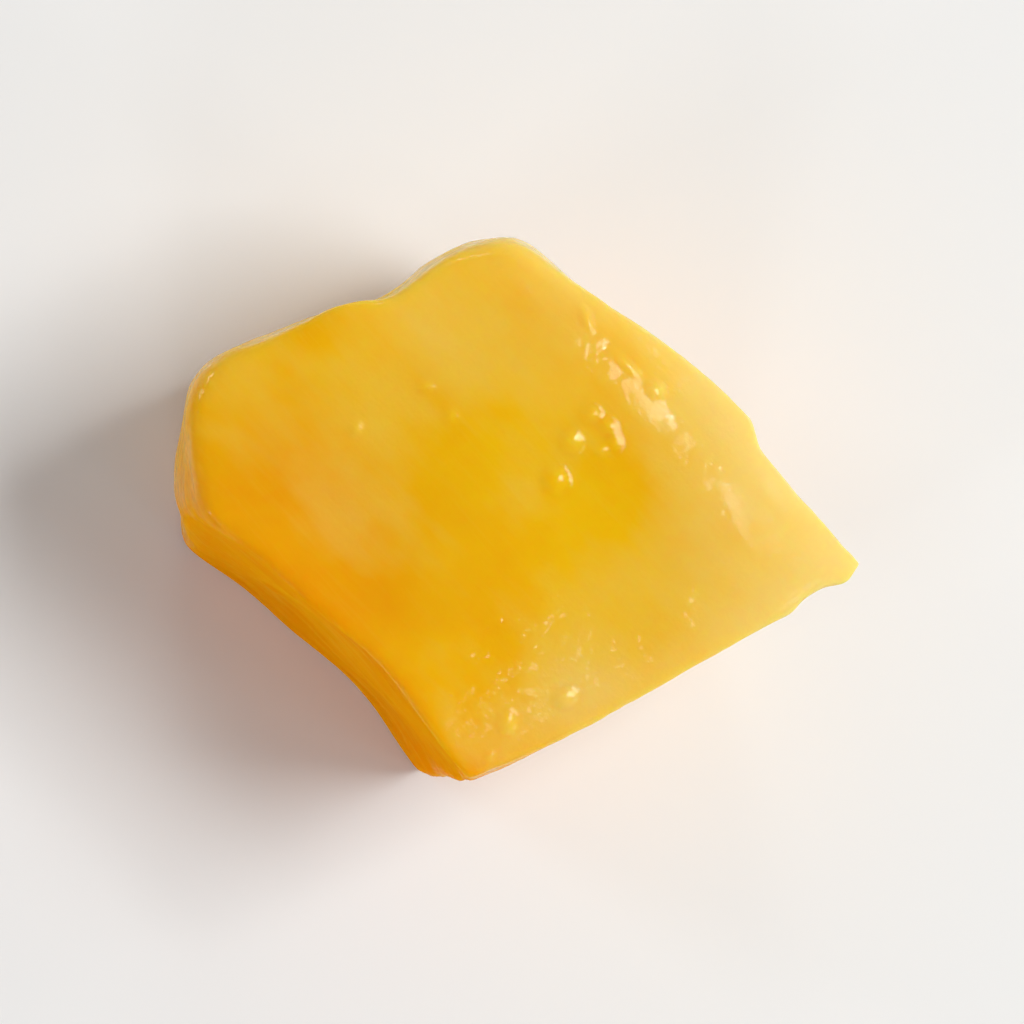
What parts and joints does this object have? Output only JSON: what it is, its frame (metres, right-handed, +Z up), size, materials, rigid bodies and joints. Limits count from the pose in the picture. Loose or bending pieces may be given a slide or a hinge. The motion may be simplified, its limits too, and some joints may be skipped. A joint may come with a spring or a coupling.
{
  "type": "mango chunk",
  "caption": "Hand-cut chunk of peeled ripe mango flesh: a pale, convex peeled side, a hollow stone side, flat knife cuts and a thin tip, lying on a flat cut face.",
  "frame": {"origin": "middle of the bounding box, on the flat cut that the chunk lies on", "axes": "+Z up, out of the top cut face; +X along the chunk's length, towards the thin tip"},
  "size_m": [0.0306, 0.0244, 0.0182],
  "materials": {
    "mango_flesh": null
  },
  "bodies": {
    "root": {"mango_chunk": "mango_flesh"}
  },
  "joints": []
}
